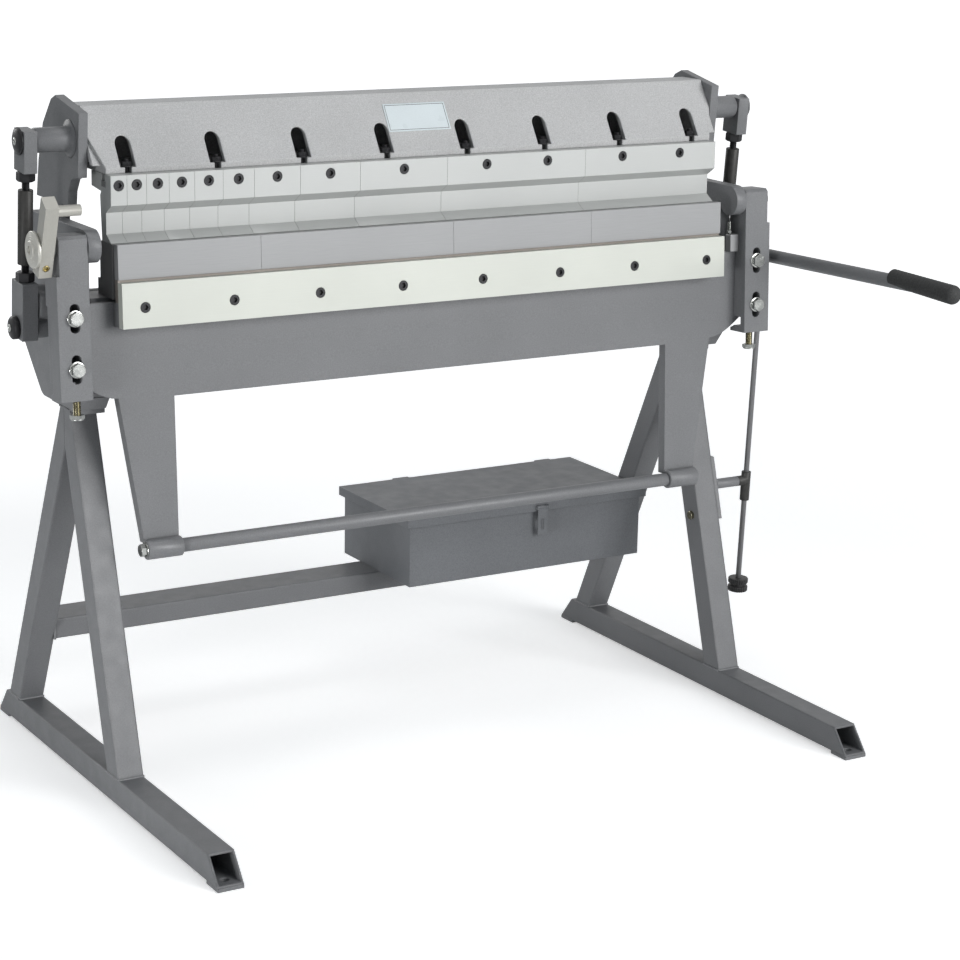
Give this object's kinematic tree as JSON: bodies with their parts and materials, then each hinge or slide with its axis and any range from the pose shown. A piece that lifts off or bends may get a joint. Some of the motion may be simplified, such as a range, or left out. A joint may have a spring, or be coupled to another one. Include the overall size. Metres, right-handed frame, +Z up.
{
  "type": "box and pan brake",
  "caption": "Hand folding brake for sheet metal on a floor stand: segmented fingers on a lifting beam, a swinging bending leaf, a side clamp lever, angle stops and a toolbox.",
  "frame": {"origin": "on the floor, at the middle of the four anchor holes of the feet", "axes": "+X along the machine to the operator's right, -Y towards the operator, +Z up"},
  "size_m": [1.3155, 0.8725, 1.0236],
  "materials": {
    "frame_paint": "satin powder coat",
    "beam_paint": "satin powder coat",
    "box_paint": "satin powder coat",
    "ground_steel": "ground",
    "finger_steel": "ground and nickel plated",
    "zinc": "zinc plated",
    "black_steel": "black oxide",
    "black_plastic": "moulded, glossy",
    "grip_rubber": "matt"
  },
  "bodies": {
    "stand": {"foot_bars": "frame_paint", "foot_pads": "frame_paint", "front_legs": "frame_paint", "rear_legs": "frame_paint", "stand_top_plates": "frame_paint", "cross_beam": "frame_paint", "toolbox_body": "box_paint", "toolbox_hinge_pins": "ground_steel", "left_side_frame": "frame_paint", "right_side_frame": "frame_paint", "stand_bolts": "zinc", "bed_channel": "frame_paint", "bed_blade": "ground_steel", "bed_screws": "black_steel", "leaf_pivot_pins": "ground_steel", "stop_guide": "frame_paint", "stop_guide_bolts": "zinc", "stop_arm_disc": "ground_steel"},
    "toolbox_lid": {"toolbox_lid": "box_paint"},
    "toolbox_hasp": {"toolbox_hasp": "ground_steel"},
    "leaf": {"apron_plate": "frame_paint", "apron_backing": "frame_paint", "bending_bar": "ground_steel", "bending_bar_screws": "black_steel", "leaf_edge_segments": "ground_steel", "leaf_tongue": "ground_steel", "left_hinge_bracket": "frame_paint", "right_hinge_bracket": "frame_paint", "hinge_bracket_bolts": "zinc", "leaf_adjusting_screws": "zinc", "leaf_tube": "frame_paint", "leaf_tube_bosses": "frame_paint", "leaf_tube_bolt": "zinc"},
    "stop_arm": {"stop_arm": "ground_steel"},
    "clamp_shaft": {"clamp_shaft": "ground_steel", "crank_webs": "frame_paint", "crank_pins": "ground_steel", "lever_hub": "frame_paint", "clamp_lever": "frame_paint", "lever_grip": "grip_rubber"},
    "links": {"link_heads": "frame_paint", "link_rods": "black_steel", "turnbuckles": "black_steel", "link_nuts": "black_steel", "link_feet": "frame_paint"},
    "beam": {"beam_shell": "beam_paint", "beam_end_plates": "frame_paint", "beam_pivot_arms": "frame_paint", "beam_arm_bolts": "zinc", "beam_trunnions": "frame_paint", "trunnion_caps": "black_steel", "finger_rail": "ground_steel", "rail_bolts": "zinc", "narrow_fingers": "finger_steel", "medium_fingers": "finger_steel", "wide_fingers": "finger_steel", "finger_screws": "black_steel"},
    "stop_sleeve": {"stop_sleeve": "black_steel"},
    "stop_rod": {"stop_rod": "ground_steel", "stop_knob": "black_plastic"}
  },
  "joints": [
    {"name": "leaf_swing", "type": "hinge", "parent": "stand", "child": "leaf", "pos_m": [0, 0, 0.825], "axis": [-1, 0, 0], "range_deg": [0, 120]},
    {"name": "beam_lift", "type": "hinge", "parent": "stand", "child": "beam", "pos_m": [0, 0.175, 0.8], "axis": [-1, 0, 0], "range_deg": [0, 9.43]},
    {"name": "lever_swing", "type": "hinge", "parent": "stand", "child": "clamp_shaft", "pos_m": [0, 0.101, 0.73], "axis": [-1, 0, 0], "range_deg": [0, 60]},
    {"name": "links_pivot", "type": "hinge", "parent": "clamp_shaft", "child": "links", "pos_m": [0, 0.104, 0.69513], "axis": [-1, 0, 0], "range_deg": [-48, 0]},
    {"name": "stop_arm_turn", "type": "hinge", "parent": "stand", "child": "stop_arm", "pos_m": [-0.632, 0, 0.825], "axis": [-1, 0, 0], "range_deg": [-80, 30]},
    {"name": "sleeve_tilt", "type": "hinge", "parent": "stand", "child": "stop_sleeve", "pos_m": [0.632, 0.024, 0.34], "axis": [1, 0, 0], "range_deg": [0, 8]},
    {"name": "rod_slide", "type": "slide", "parent": "stop_sleeve", "child": "stop_rod", "axis": [0, -0.0449, 0.999], "range_m": [0, 0.125]},
    {"name": "lid_open", "type": "hinge", "parent": "stand", "child": "toolbox_lid", "pos_m": [0.2845, 0.406, 0.301], "axis": [-1, 0, 0], "range_deg": [0, 110]},
    {"name": "hasp_swing", "type": "hinge", "parent": "toolbox_lid", "child": "toolbox_hasp", "pos_m": [0.307, 0.1527, 0.3005], "axis": [-1, 0, 0], "range_deg": [0, 150]}
  ],
  "couplings": [
    {"joint": "lever_swing", "follows": "beam_lift", "ratio": 6.3447},
    {"joint": "links_pivot", "follows": "beam_lift", "ratio": -4.9992},
    {"joint": "sleeve_tilt", "follows": "leaf_swing", "ratio": 0.06615},
    {"joint": "rod_slide", "follows": "leaf_swing", "m_per_rad": 0.05924}
  ]
}
